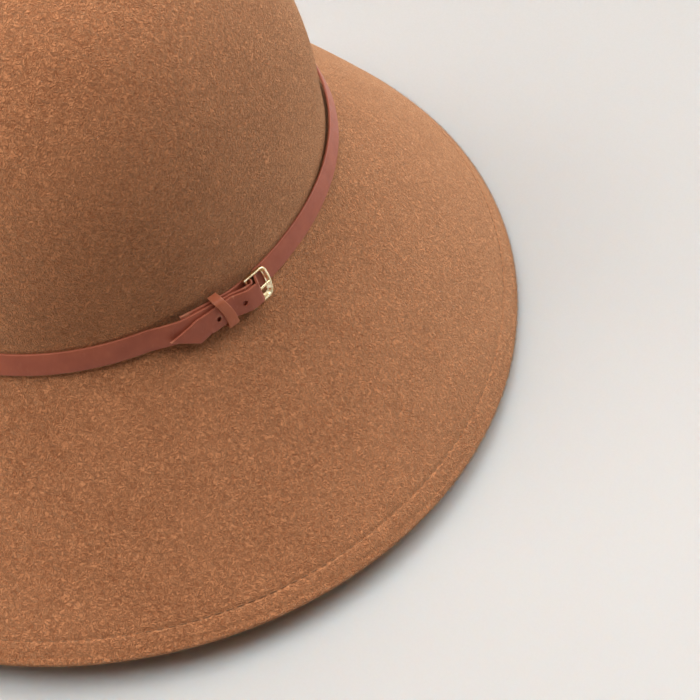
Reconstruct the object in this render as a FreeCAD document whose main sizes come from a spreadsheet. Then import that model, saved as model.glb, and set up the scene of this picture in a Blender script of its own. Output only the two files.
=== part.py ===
"""Wide-brim felt hat with a buckled leather band.

Millimetres, +Z up, the brim's edge on the plane Z = 0, the wearer looks along -Y.
The band's buckle is on the wearer's left, at +X.
"""
import FreeCAD
import Part
import os
from math import atan2, ceil, cos, pi, radians, sin, sqrt

# ---------------------------------------------------------------- driving dimensions
SIZES = {
    # felt crown
    "crown_length": 203.4,        # outside, front to back, at the band's lower edge
    "crown_narrowing": 29.6,      # how much less it is side to side
    "crown_height": 118.0,        # from the band's lower edge to the top
    "felt_thick": 2.5,
    "root_inset": 4.0,            # how far the root curve draws in above the brim
    "root_height": 5.0,           # the height in which most of that happens
    # felt brim
    "brim_drop": 75.5,            # from the crown's root down to the edge
    "brim_length": 334.6,         # over its edge, front to back
    "brim_narrowing": 13.2,       # how much less it is side to side
    "brim_steepness": 0.74,       # its rise for each unit along its slope
    "brim_crown": 2.0,            # how far the brim bulges over a straight cone
    "root_relief": 2.0,           # how far the brim's root hangs back under that cone
    "lap_height": 9.0,            # the brim's collar that stands inside the crown
    "seam_gap": 0.05,             # between two sewn layers
    # wired edge
    "edge_round": 2.4,            # height in which the edge rounds over to its rest
    "fold_depth": 9.0,            # width of the turned-under edge
    "wire_thick": 1.2,
    "wire_room": 0.15,            # between the wire and the felt round it
    "thread_thick": 0.7,
    "thread_room": 0.1,
    # sweatband
    "ribbon_width": 25.0,
    "ribbon_thick": 0.8,
    "ribbon_raise": 1.0,          # from the crown's root to the ribbon's lower edge
    "ribbon_gap": 0.3,
    # leather band
    "strap_width": 8.0,
    "strap_thick": 1.0,
    "strap_gap": 0.3,             # between two soft layers that aren't one piece
    "strap_lean": 0.40,           # how far it leans in for each unit of height
    "strap_raise": 1.0,           # its lower edge over the crown's root
    "strap_inset": 0.45,          # how far its seat lies inside the crown's root
    "buckle_angle": 16.05,        # the heel bar, ahead of the wearer's left side
    "bar_spacing": 8.4,           # heel bar to outer bar
    "bar_height": 2.75,           # the bars' centres over the crown
    "heel_bar_thick": 1.5,
    "rim_width": 2.3,
    "rim_thick": 1.6,
    "rim_bevel": 0.45,
    "frame_side_gap": 0.6,        # between the strap's edge and the frame's arms
    "arm_width": 1.1,
    "frame_corner": 2.4,          # radius where the arms turn into the outer bar
    "frame_inner_corner": 1.44,
    "frame_bow": 1.0,             # how far the outer bar bows out
    "arm_overhang": 0.2,          # how far the arms reach behind the heel bar
    "prong_play": 0.06,           # between the prong and both bars
    "prong_thick": 1.1,           # across, as seen from outside
    "prong_height": 0.88,
    "prong_eye_wall": 0.6,
    "prong_slot_room": 0.5,
    "prong_lift": 3.0,            # degrees of play that the threaded tail leaves the prong
    "frame_tilt": 3.0,            # and the frame
    "fold_back_length": 27.7,
    "tail_length": 33.4,          # from the heel bar to the tip
    "tail_slant": 8.5,            # how much shorter the tail's lower edge is
    "hole_pitch": 10.6,
    "hole_count": 2,
    "hole_wide": 1.7,
    "first_hole": 6.1,            # the prong's hole, from the heel bar
    "keeper_station": 13.6,       # from the heel bar to the keeper's middle
    "keeper_width": 4.0,
    "keeper_thick": 0.6,
}

doc = FreeCAD.newDocument("felt_hat")
sheet = doc.addObject("Spreadsheet::Sheet", "Sizes")
for row, (alias, value) in enumerate(SIZES.items(), start=1):
    sheet.set(f"A{row}", alias)
    sheet.set(f"B{row}", str(value))
    sheet.setAlias(f"B{row}", alias)
doc.recompute()


def size(alias):
    return float(sheet.get(alias))


# ---------------------------------------------------------------- felt forms
# Heights and sizes of these are expressions, so the sheet drives every section. A pair
# holds the half length and the half width.
CROWN_HALVES = ("(Sizes.crown_length / 2)", "((Sizes.crown_length - Sizes.crown_narrowing) / 2)")
EDGE_HALVES = ("(Sizes.brim_length / 2)", "((Sizes.brim_length - Sizes.brim_narrowing) / 2)")
FELT = "Sizes.felt_thick"
DOME_TOP = "Sizes.crown_height"
INNER_TOP = "(Sizes.crown_height - Sizes.felt_thick)"
# The heights, as shares of the crown's, where its profile bends enough to need a section.
OUTER_SHARES = (0.0, 0.025, 0.05, 0.08, 0.12, 0.2, 0.34, 0.5, 0.66, 0.8, 0.9, 0.97, 0.9993)
INNER_SHARES = (0.0, 0.08, 0.2, 0.38, 0.6, 0.8, 0.93, 1.0)
BRIM_SHARES = (0.0, 0.04, 0.1, 0.2, 0.4, 0.6, 0.8, 1.0)
UNDERSIDE_SHARES = (0.03, 0.1, 0.25, 0.5, 0.75, 1.0)
SIDES = 72                    # flats round each felt piece, within 0.16 mm of the true curve
FLAT = 1e-7                   # how far a corner may lie off a plane
UP = FreeCAD.Vector(0, 0, 1)


def oval(label, halves, height):
    """A level ellipse with its long axis front to back."""
    ring = doc.addObject("Part::Ellipse", label)
    ring.Placement = FreeCAD.Placement(FreeCAD.Vector(), FreeCAD.Rotation(UP, 90))
    ring.setExpression("MajorRadius", halves[0])
    ring.setExpression("MinorRadius", halves[1])
    ring.setExpression("Placement.Base.z", height)
    return ring


def rim(ring):
    """Evenly turned points round an oval, the first one again at the end."""
    edge = ring.Shape.Edges[0]
    points = [edge.valueAt(2 * pi * n / SIDES) for n in range(SIDES)]
    return points + points[:1]


def level_face(ring):
    return Part.Face(Part.makePolygon(rim(ring)))


def flat_faces(corners):
    """One face through four corners, or two where they don't lie in one plane."""
    first, second, third, fourth = corners
    across = (second - first).cross(third - first)
    outlines = [corners]
    if abs((fourth - first) * across) > FLAT * across.Length:
        outlines = [[first, second, third], [first, third, fourth]]
    return [Part.Face(Part.makePolygon(outline + outline[:1])) for outline in outlines]


def skin_between(here, ahead):
    """The faces from one oval to the next: a wall of flats, or a flat ring if both are level."""
    if abs(here.Placement.Base.z - ahead.Placement.Base.z) < FLAT:
        inner, outer = sorted((level_face(ring) for ring in (here, ahead)), key=lambda face: face.Area)
        return outer.cut(inner).Faces
    one, other = rim(here), rim(ahead)
    return [face for n in range(SIDES)
            for face in flat_faces([one[n], one[n + 1], other[n + 1], other[n]])]


def felt_solid(label, ovals, around=False):
    """One solid whose skin runs through level ovals in turn.

    The first and last ovals are closed by flat discs, or joined to each other where the
    skin goes all the way around a section.
    """
    doc.recompute()
    following = ovals[1:] + ovals[:1] if around else ovals[1:]
    faces = [face for here, ahead in zip(ovals, following) for face in skin_between(here, ahead)]
    if not around:
        faces += [level_face(ovals[0]), level_face(ovals[-1])]
    shell = Part.makeShell(faces)
    shell.sewShape()
    solid = Part.makeSolid(shell)
    if solid.Volume < 0:
        solid.reverse()
    piece = doc.addObject("Part::Feature", label)
    piece.Shape = solid
    return piece


def crown_oval(label, rise, depth, top):
    """A section of the crown, depth under its outer surface, rise above its root."""
    inset = f"Sizes.root_inset * (1 - exp(-({rise}) / Sizes.root_height))"
    dome = f"sqrt(1 - (({rise}) / {top})^2)"
    halves = [f"({half} - {inset} - ({depth})) * {dome}" for half in CROWN_HALVES]
    return oval(label, halves, f"Sizes.brim_drop + {rise}")


def crown_wall(label, depth, top, rises):
    return [crown_oval(f"{label}_{n}", rise, depth, top) for n, rise in enumerate(rises)]


def between(low, high, shares):
    """Heights spread between two expressions."""
    return [f"(({low}) + (({high}) - ({low})) * {share})" for share in shares]


def brim_oval(label, share, shift="0", out="0"):
    """A section of the brim's upper side, share of the way from its root to its edge.

    It is shifted straight down or grown outwards.
    """
    crowned = f"4 * Sizes.brim_crown * ({share}) * (1 - ({share}))"
    fall = f"({share}) * (Sizes.brim_drop - Sizes.edge_round)"
    relief = f"Sizes.root_relief * (1 - ({share})) * (1 - exp(-({fall}) / Sizes.root_height))"
    halves = [f"{root} + ({edge} - {root}) * ({share}) + {crowned} - {relief} + {out}"
              for root, edge in zip(CROWN_HALVES, EDGE_HALVES)]
    return oval(label, halves, f"Sizes.brim_drop - {fall} - ({shift})")


def edge_oval(label, inset, height):
    """A section of the brim's rounded edge, inset from where the brim reaches furthest."""
    return oval(label, [f"{half} - ({inset})" for half in EDGE_HALVES], height)


def share_at(height, shift):
    """How far down the brim a shifted section has to be, to lie at a height."""
    return f"((Sizes.brim_drop - ({shift}) - ({height})) / (Sizes.brim_drop - Sizes.edge_round))"


# how far straight down the underside lies for one thickness of felt on the brim's slope
REACH = "(" + " + ".join(f"{edge} - {root}" for root, edge in zip(CROWN_HALVES, EDGE_HALVES)) + ")"
SLOPE_DROP = f"({FELT} * sqrt(1 + (2 * Sizes.brim_drop / {REACH})^2))"
FOLD_DROP = f"(2 * {SLOPE_DROP})"
FOLD_TOP = "(Sizes.fold_depth * Sizes.brim_steepness)"
LAP = "Sizes.lap_height"
LAP_RISES = ("0", f"{LAP} * 0.4", LAP)
WIRE_INSET = "(Sizes.felt_thick + Sizes.wire_thick / 2)"
WIRE_Z = "(Sizes.edge_round + Sizes.wire_thick / 2)"


def edge_ring(label, grow):
    """A flat strip that follows the brim's edge inside its fold, grown by grow on every side."""
    half = f"(Sizes.wire_thick / 2 + {grow})"
    near, far = f"{WIRE_INSET} + {half}", f"{WIRE_INSET} - {half}"
    low, high = f"{WIRE_Z} - {half}", f"{WIRE_Z} + {half}"
    corners = ((near, low), (near, high), (far, high), (far, low))
    ovals = [edge_oval(f"{label}_{n}", inset, height) for n, (inset, height) in enumerate(corners)]
    return felt_solid(label, ovals, around=True)


# ---------------------------------------------------------------- felt crown and brim
def make_crown():
    """A blocked dome, skived to half its thickness where the brim's collar stands inside it."""
    rises = [f"{DOME_TOP} * {share}" for share in OUTER_SHARES[::-1]]
    outside = crown_wall("crown_out", "0", DOME_TOP, rises)
    lap_top = f"{LAP} + Sizes.seam_gap"
    lap = crown_wall("crown_lap", f"{FELT} / 2", DOME_TOP, LAP_RISES[:2] + (lap_top,))
    inside = crown_wall("crown_in", FELT, INNER_TOP,
                        between(lap_top, f"{INNER_TOP} * {OUTER_SHARES[-1]}", INNER_SHARES))
    return felt_solid("crown", outside + lap + inside)


def make_brim():
    """The sloping brim: a collar above, a turned-under edge below and a channel for its wire."""
    edge = [edge_oval("brim_rest", "0.6 * Sizes.edge_round", "0"),
            edge_oval("brim_turn", "0.1 * Sizes.edge_round", "0.4 * Sizes.edge_round")]
    top = [brim_oval(f"brim_top_{n}", str(share)) for n, share in enumerate(BRIM_SHARES[::-1])]
    collar = crown_wall("collar", f"{FELT} / 2 + Sizes.seam_gap", DOME_TOP, LAP_RISES)
    opening = crown_wall("opening", FELT, INNER_TOP, LAP_RISES[::-1])
    last = share_at(FOLD_TOP, SLOPE_DROP)
    underside = [brim_oval(f"underside_{n}", f"{share} * {last}", SLOPE_DROP)
                 for n, share in enumerate(UNDERSIDE_SHARES)]
    fold = [brim_oval(f"fold_{n}", share_at(height, FOLD_DROP), FOLD_DROP)
            for n, height in enumerate((FOLD_TOP, "0"))]
    felt = felt_solid("brim_felt", edge + top + collar + opening + underside + fold, around=True)
    channel = edge_ring("wire_channel", "Sizes.wire_room")
    brim = doc.addObject("Part::Feature", "brim")
    brim.Shape = Part.makeSolid(Part.makeCompound([felt.Shape.Shells[0], channel.Shape.Shells[0].reversed()]))
    return brim


def make_wire():
    return edge_ring("brim_wire", "0")


def make_edge_stitching():
    """The thread laid along the turned-under edge, on the brim's upper side."""
    middle = share_at(FOLD_TOP, "0")
    half = "Sizes.thread_thick / 2 / Sizes.brim_drop"
    shares = (f"({middle} - {half})", f"({middle} + {half})")
    near = [brim_oval(f"thread_near_{n}", share, out="Sizes.thread_room") for n, share in enumerate(shares)]
    far = [brim_oval(f"thread_far_{n}", share, out="Sizes.thread_room + Sizes.thread_thick")
           for n, share in enumerate(shares[::-1])]
    return felt_solid("edge_stitching", near + far, around=True)


def make_sweatband():
    """The grosgrain ribbon that lines the crown's root."""
    near = f"{FELT} + Sizes.ribbon_gap"
    rises = between("Sizes.ribbon_raise", "Sizes.ribbon_raise + Sizes.ribbon_width", (0.0, 0.2, 0.45, 1.0))
    outside = crown_wall("ribbon_out", near, INNER_TOP, rises)
    inside = crown_wall("ribbon_in", f"{near} + Sizes.ribbon_thick", INNER_TOP, rises[::-1])
    return felt_solid("sweatband", outside + inside, around=True)


def make_sweatband_stitching():
    """The thread that holds the ribbon's lower edge to the felt."""
    near = f"{FELT} + Sizes.ribbon_gap + Sizes.ribbon_thick + Sizes.thread_room"
    low = "Sizes.ribbon_raise + Sizes.thread_thick"
    rises = (f"({low})", f"({low} + Sizes.thread_thick)")
    outside = crown_wall("tack_out", near, INNER_TOP, rises)
    inside = crown_wall("tack_in", f"{near} + Sizes.thread_thick / 2", INNER_TOP, rises[::-1])
    return felt_solid("sweatband_stitching", outside + inside, around=True)


# ---------------------------------------------------------------- places on the leather band
HALF_LENGTH = size("crown_length") / 2
HALF_WIDTH = HALF_LENGTH - size("crown_narrowing") / 2
HEEL_TURN = -radians(size("buckle_angle"))
LEAN = size("strap_lean")
SLANT = sqrt(1 + LEAN ** 2)
PACE = sqrt((HALF_WIDTH * sin(HEEL_TURN)) ** 2 + (HALF_LENGTH * cos(HEEL_TURN)) ** 2)


def turn_at(along):
    """The oval's angle at a distance along the band from the buckle's heel bar."""
    return HEEL_TURN + along / PACE


def outward(turn):
    normal = FreeCAD.Vector(HALF_LENGTH * cos(turn), HALF_WIDTH * sin(turn), 0)
    return normal.normalize()


def spot(turn, out, rise):
    """A point out from the band's seat and rise above its lower edge, the seat leaning in as it rises."""
    height = size("brim_drop") + size("strap_raise") + rise
    foot = FreeCAD.Vector(HALF_WIDTH * cos(turn), HALF_LENGTH * sin(turn), height)
    return foot + outward(turn) * (out - size("strap_inset") - LEAN * rise)


def seat(along, out, rise):
    """A placement on the band: X along it towards the outer bar, Y up its face, Z out of it."""
    here = spot(turn_at(along), out, rise)
    ahead = spot(turn_at(along + size("bar_spacing")), out, rise)
    along_axis = (ahead - here).normalize()
    up = spot(turn_at(along), out, rise + 1) - here
    out_axis = along_axis.cross(up).normalize()
    turned = FreeCAD.Rotation(along_axis, up, out_axis, "XZY")
    return FreeCAD.Placement(here, turned)


# The leather band's layers over its seat, from the crown outwards.
MID_RISE = size("strap_width") / SLANT / 2
THICK = size("strap_thick")
GAP = size("strap_gap")
CLOSE = 0.7 * GAP                                         # where leather bends snugly round a piece
NEAR = GAP + THICK / 2                                    # where nothing lies under the band
FOLD_BACK = 2 * GAP + size("keeper_thick") + THICK / 2    # its folded end, over the keeper's back
BAR = size("bar_height")
LOOP = size("heel_bar_thick") / 2 + CLOSE + THICK / 2     # the fold's radius round the heel bar
OVER_FOLD = FOLD_BACK + THICK + GAP
TAIL = OVER_FOLD + THICK + GAP
TAIL_OVER_HEEL = BAR + LOOP + THICK + 2 * GAP
CLIMB = 3 ** 0.5                                          # the tail climbs to the heel bar at 60 degrees
RISE_FOOT = size("bar_spacing") - size("rim_width") / 2 - 0.7 * THICK  # and starts just behind the outer bar
# The band's bends: easy ones between layers, firm ones beside the heel bar, and at the tail's
# climb its foot and its head. The folds stay level for a little way on either side of the bar.
EASY, FIRM, FOOT, HEAD = 8, 6, 1.6, 1.3
FOLD_FLAT, TAIL_FLAT = 1.5, 2.5
LOOP_STEPS, ROUND_STEPS = 12, 90


def fillet_points(corners, pitch=0.6):
    """A path through corners (along, out, radius), each rounded by an arc of its radius."""
    points = [FreeCAD.Vector(*corners[0][:2])]
    for before, corner, after in zip(corners, corners[1:], corners[2:]):
        here = FreeCAD.Vector(*corner[:2])
        back = (FreeCAD.Vector(*before[:2]) - here).normalize()
        ahead = (FreeCAD.Vector(*after[:2]) - here).normalize()
        bend = pi - back.getAngle(ahead)
        radius = corner[2]
        reach = radius * sin(bend / 2) / cos(bend / 2)
        start, centre = here + back * reach, here + (back + ahead).normalize() * (radius / cos(bend / 2))
        stop = here + ahead * reach
        count = max(2, ceil(radius * bend / pitch))
        first = start - centre
        second = stop - centre
        for n in range(count + 1):
            share = n / count
            arm = first * sin((1 - share) * bend) + second * sin(share * bend)
            points.append(centre + arm * (1 / sin(bend)))
    points.append(FreeCAD.Vector(*corners[-1][:2]))
    return spaced(points)


def spaced(points, pitch=2.5):
    """The same path with its long runs divided, so they bend with the band's seat."""
    close = [points[0]]
    for point in points[1:]:
        run = point - close[-1]
        count = ceil(run.Length / pitch)
        begin = close[-1]
        close += [begin + run * (n / count) for n in range(1, count + 1)]
    return close


# Both buckle pieces are drawn with X from the heel bar to the outer bar, Y up the band and Z out of it.
BUCKLE_SEAT = seat(0, BAR, MID_RISE)


def prong_span():
    """How high the prong's underside and top lie over the bars' middle."""
    low = size("rim_thick") / 2 + size("prong_play")
    return low, low + size("prong_height")


# ---------------------------------------------------------------- leather band
def band_path():
    """The band's middle line from its fold-back end to the tail's tip, as (turn, out) pairs."""
    start = -size("fold_back_length")
    keeper = -size("keeper_station")
    near_edge = keeper + size("keeper_width")
    fold_back = fillet_points([(start, FOLD_BACK, 0), (near_edge, FOLD_BACK, EASY),
                               (-FOLD_FLAT, BAR - LOOP, FIRM), (0, BAR - LOOP, 0)])[:-1]
    loop_turns = [pi * n / LOOP_STEPS for n in range(LOOP_STEPS + 1)]
    loop = [FreeCAD.Vector(LOOP * sin(turn), BAR - LOOP * cos(turn)) for turn in loop_turns]
    over = fillet_points([(0, BAR + LOOP, 0), (-FOLD_FLAT, BAR + LOOP, FIRM), (near_edge, OVER_FOLD, EASY),
                          (start - THICK, OVER_FOLD, EASY), (3 * keeper, NEAR, 0)])[1:]
    bar = size("bar_spacing")
    rise_top = RISE_FOOT - (TAIL_OVER_HEEL - NEAR) / CLIMB
    tail = fillet_points([(3 * bar, NEAR, 0), (RISE_FOOT, NEAR, FOOT), (rise_top, TAIL_OVER_HEEL, HEAD),
                          (-TAIL_FLAT, TAIL_OVER_HEEL, FIRM), (near_edge, TAIL, EASY),
                          (start - THICK, TAIL, EASY), (-size("tail_length"), TAIL - GAP, 0)])
    first = turn_at(over[-1].x)
    last = turn_at(tail[0].x) - 2 * pi
    round_turns = [first + (last - first) * n / ROUND_STEPS for n in range(1, ROUND_STEPS)]
    path = [(turn_at(point.x), point.y) for point in fold_back + loop + over]
    path += [(turn, NEAR) for turn in round_turns]
    path += [(turn_at(point.x) - 2 * pi, point.y) for point in tail]
    return path


def strip_outline(path, rise):
    """The closed outline, at one height, of a strip one strap thick along a path."""
    middle = [spot(turn, out, rise) for turn, out in path]
    sides = ([], [])
    for n, point in enumerate(middle):
        ahead = middle[min(n + 1, len(middle) - 1)] - middle[max(n - 1, 0)]
        across = FreeCAD.Vector(-ahead.y, ahead.x, 0).normalize() * (THICK / 2)
        sides[0].append(point + across)
        sides[1].append(point - across)
    outline = sides[0] + sides[1][::-1]
    return Part.makePolygon(outline + outline[:1])


def prong_room(label, along, up, out):
    """A box cut through the band for the prong, between limits in the buckle's own X, Y and Z."""
    box = doc.addObject("Part::Box", label)
    box.Length, box.Width, box.Height = along[1] - along[0], up[1] - up[0], out[1] - out[0]
    box.Placement = BUCKLE_SEAT.multiply(FreeCAD.Placement(FreeCAD.Vector(along[0], up[0], out[0]),
                                                           FreeCAD.Rotation()))
    return box


def hole_cutter(n):
    """One of the tail's punched holes, which stops in the gap under the tail."""
    hole = doc.addObject("Part::Cylinder", f"hole_{n}")
    hole.setExpression("Radius", "Sizes.hole_wide / 2")
    hole.Height = THICK + 2 * CLOSE
    along = size("first_hole") - size("hole_pitch") * n
    over_heel = along > -size("keeper_station") + size("keeper_width")
    out = (TAIL_OVER_HEEL if over_heel else TAIL) - hole.Height.Value / 2
    hole.Placement = seat(along, out, MID_RISE)
    return hole


def tip_cutter():
    """What a slanting cut takes off the tail's end, below its pointed upper corner."""
    width, slant = size("strap_width"), size("tail_slant")
    depth = THICK + GAP
    corners = [(-slant / 2, width / 2), (slant / 2, -width / 2), (slant / 2, -width), (-width, -width),
               (-width, width), (-slant / 2, width)]
    points = [FreeCAD.Vector(*corner, 0) for corner in corners]
    cutter = doc.addObject("Part::Feature", "tip_cutter")
    cutter.Shape = Part.Face(Part.makePolygon(points + points[:1])).extrude(FreeCAD.Vector(0, 0, 2 * depth))
    cutter.Placement = seat(slant / 2 - size("tail_length"), TAIL - GAP / 2 - depth / 2 - THICK / 4, MID_RISE)
    return cutter


def make_band():
    """One strip of leather: folded round the heel bar, round the crown, and back as the tail."""
    path = band_path()
    top = size("strap_width") / SLANT
    strip = doc.addObject("Part::Feature", "band_strip")
    strip.Shape = Part.makeLoft([strip_outline(path, 0), strip_outline(path, top)], True, True)
    loop_reach = LOOP + THICK / 2 + GAP
    slot_half = size("prong_thick") / 2 + size("prong_slot_room")
    hole_half = size("hole_wide") / 2
    prong_low, prong_top = prong_span()
    lift = (size("bar_spacing") / 2) * sin(radians(size("prong_lift") + size("frame_tilt")))
    prong_slot = prong_room("prong_slot", (-loop_reach + GAP / 2, loop_reach), (-slot_half, slot_half),
                            (-loop_reach, loop_reach))
    climb = (prong_top + prong_low) / 2 + BAR
    crossing = RISE_FOOT - (climb - NEAR) / CLIMB
    prong_hole = prong_room("prong_hole", (crossing - THICK, crossing + THICK), (-hole_half, hole_half),
                            (prong_low - GAP, prong_top + lift + GAP / 2))
    cutters = [tip_cutter(), prong_slot, prong_hole]
    cutters += [hole_cutter(n) for n in range(1, int(size("hole_count")) + 1)]
    piece = strip
    for n, cutter in enumerate(cutters):
        cut = doc.addObject("Part::Cut", f"band_cut_{n}")
        cut.Base = piece
        cut.Tool = cutter
        piece = cut
    piece.Label = "hat_band"
    return piece


# ---------------------------------------------------------------- keeper
def arc_centre(turn):
    """The centre of the band's curve at an angle, and its radius there."""
    pace = sqrt((HALF_WIDTH * sin(turn)) ** 2 + (HALF_LENGTH * cos(turn)) ** 2)
    radius = pace ** 3 / (HALF_LENGTH * HALF_WIDTH)
    return spot(turn, 0, 0) - outward(turn) * radius, radius


def origin_plane(body, role):
    return next(item for item in body.Origin.OriginFeatures if item.Role == role)


def drawn(body, label, role):
    """A sketch on one of the body's own planes."""
    sketch = body.newObject("Sketcher::SketchObject", label)
    sketch.AttachmentSupport = [(origin_plane(body, role), "")]
    sketch.MapMode = "FlatFace"
    return sketch


def outline(sketch, corners):
    """Closed straight lines through corners."""
    for here, ahead in zip(corners, corners[1:] + corners[:1]):
        sketch.addGeometry(Part.LineSegment(FreeCAD.Vector(*here, 0), FreeCAD.Vector(*ahead, 0)), False)


def make_keeper():
    """A leather loop round all three layers, turned about the centre of the band's curve."""
    turn = turn_at(-size("keeper_station"))
    centre, radius = arc_centre(turn)
    thick, wide = size("keeper_thick"), size("keeper_width")
    low, high = -CLOSE, size("strap_width") / SLANT + CLOSE
    inner, outer = GAP + thick, TAIL + THICK / 2 + GAP
    body = doc.addObject("PartDesign::Body", "keeper_body")
    sketch = drawn(body, "keeper_section", "XZ_Plane")
    for grow in (0, thick):
        corners = [(inner - grow, low - grow), (outer + grow, low - grow),
                   (outer + grow, high + grow), (inner - grow, high + grow)]
        outline(sketch, [(radius + out - LEAN * rise, rise) for out, rise in corners])
    loop = body.newObject("PartDesign::Revolution", "keeper_loop")
    loop.Profile = sketch
    loop.ReferenceAxis = (origin_plane(body, "Z_Axis"), [""])
    loop.Angle = wide / radius * 180 / pi
    loop.Midplane = True
    doc.recompute()
    corners = [f"Edge{n}" for n, edge in enumerate(loop.Shape.Edges, start=1)
               if edge.Length < wide * 1.2 and edge.Curve.TypeId == "Part::GeomCircle"]
    rounded = body.newObject("PartDesign::Fillet", "keeper_corners")
    rounded.Base = (loop, corners)
    rounded.Radius = GAP
    body.Tip = rounded
    facing = outward(turn)
    bearing = atan2(facing.y, facing.x) * 180 / pi
    body.Placement = FreeCAD.Placement(centre, FreeCAD.Rotation(UP, bearing))
    body.Label = "band_keeper"
    return body


# ---------------------------------------------------------------- buckle
def frame_outline(sketch, arm, front, corner):
    """Straight arms, rounded corners and a bowed front, each tangent to the next."""
    back = -size("heel_bar_thick") / 2 - size("arm_overhang")
    bow = size("frame_bow")
    round_front = (bow ** 2 + arm ** 2) / (2 * bow)
    middle = front - round_front
    centre = (middle + sqrt((round_front - corner) ** 2 - (arm - corner) ** 2), arm - corner)
    slope = atan2(centre[1], centre[0] - middle)
    shoulder = (middle + round_front * cos(slope), round_front * sin(slope))
    turn = (pi / 2 + slope) / 2
    elbow = (centre[0] + corner * cos(turn), centre[1] + corner * sin(turn))
    upper = [(back, arm), (centre[0], arm), elbow, shoulder]
    points = upper + [(front, 0)] + [(along, -up) for along, up in upper[::-1]]
    points = [FreeCAD.Vector(*point, 0) for point in points]
    sketch.addGeometry(Part.LineSegment(points[0], points[1]), False)
    for n in (1, 3, 5):
        sketch.addGeometry(Part.Arc(points[n], points[n + 1], points[n + 2]), False)
    sketch.addGeometry(Part.LineSegment(points[7], points[8]), False)
    return points[0], points[-1]


def make_frame():
    """A cast D-shaped frame with a bevelled rim and a round heel bar between its arms."""
    body = doc.addObject("PartDesign::Body", "frame_body")
    sketch = drawn(body, "frame_plan", "XY_Plane")
    window = size("strap_width") / 2 + size("frame_side_gap")
    front = size("bar_spacing") + size("rim_width") / 2
    outer = frame_outline(sketch, window + size("arm_width"), front, size("frame_corner"))
    inner = frame_outline(sketch, window, front - size("rim_width"), size("frame_inner_corner"))
    for here, there in zip(outer, inner):
        sketch.addGeometry(Part.LineSegment(here, there), False)
    rim = body.newObject("PartDesign::Pad", "frame_rim")
    rim.Profile = sketch
    rim.setExpression("Length", "Sizes.rim_thick")
    rim.Midplane = True
    doc.recompute()
    edges = [f"Edge{n}" for n, edge in enumerate(rim.Shape.Edges, start=1)
             if edge.BoundBox.ZMax - edge.BoundBox.ZMin < 1e-6 and edge.BoundBox.XMax > 0]
    bevel = body.newObject("PartDesign::Chamfer", "frame_bevel")
    bevel.Base = (rim, edges)
    bevel.setExpression("Size", "Sizes.rim_bevel")
    bar_round = drawn(body, "heel_round", "XZ_Plane")
    bar_round.addGeometry(Part.Circle(FreeCAD.Vector(), UP, size("heel_bar_thick") / 2), False)
    heel = body.newObject("PartDesign::Pad", "heel_bar")
    heel.Profile = bar_round
    heel.setExpression("Length", "Sizes.strap_width + 2 * Sizes.frame_side_gap + Sizes.arm_width")
    heel.Midplane = True
    body.Tip = heel
    body.Placement = BUCKLE_SEAT
    body.Label = "buckle_frame"
    return body


def make_prong():
    """A pin bent into an eye round the heel bar, its tip resting on the outer bar."""
    thick = size("prong_thick")
    eye = size("heel_bar_thick") / 2 + size("prong_play")
    ring = eye + size("prong_eye_wall")
    rest, top = prong_span()
    tip = size("bar_spacing") + size("rim_width") / 2
    body = doc.addObject("PartDesign::Body", "prong_body")
    side = drawn(body, "prong_side", "XZ_Plane")
    foot = sqrt(ring ** 2 - rest ** 2)
    points = [(foot, rest), (-ring, 0), (0, ring), (ring, top), (tip - thick, top),
              (tip - 0.2 * thick, top - 0.25 * thick), (tip, rest), (foot, rest)]
    points = [FreeCAD.Vector(*point, 0) for point in points]
    for n in (0, 4):
        side.addGeometry(Part.Arc(*points[n:n + 3]), False)
    for n in (2, 3, 6):
        side.addGeometry(Part.LineSegment(*points[n:n + 2]), False)
    side.addGeometry(Part.Circle(FreeCAD.Vector(), UP, eye), False)
    pin = body.newObject("PartDesign::Pad", "prong_pin")
    pin.Profile = side
    pin.setExpression("Length", "Sizes.prong_thick")
    pin.Midplane = True
    body.Tip = pin
    body.Placement = BUCKLE_SEAT
    body.Label = "buckle_prong"
    return body


# ---------------------------------------------------------------- build and write
PIECES = [make_crown(), make_brim(), make_wire(), make_edge_stitching(), make_sweatband(),
          make_sweatband_stitching(), make_band(), make_keeper(), make_frame(), make_prong()]
doc.recompute()

for item in doc.Objects:
    if "Invalid" in item.State or "Error" in item.State:
        raise RuntimeError(f"{item.Label} did not build: {item.State}")
os.makedirs("parts", exist_ok=True)
for piece in PIECES:
    if piece.Shape.isNull() or not piece.Shape.isValid():
        raise RuntimeError(f"{piece.Label} is not a sound solid")
    piece.Shape.exportStep(f"parts/{piece.Label}.step")
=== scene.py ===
"""Wide-brim felt hat with a buckled leather band: its finish, soft pieces, light and camera.

Everything is in metres in the model's own frame: +Z up, the brim's edge on Z = 0, the
wearer looks along -Y and the buckle is on the wearer's left, at +X.
"""
import bmesh
import bpy
import random
from math import ceil, cos, exp, pi, radians, sin, sqrt
from mathutils import Matrix, Vector
from mathutils.noise import noise as value_noise


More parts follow.
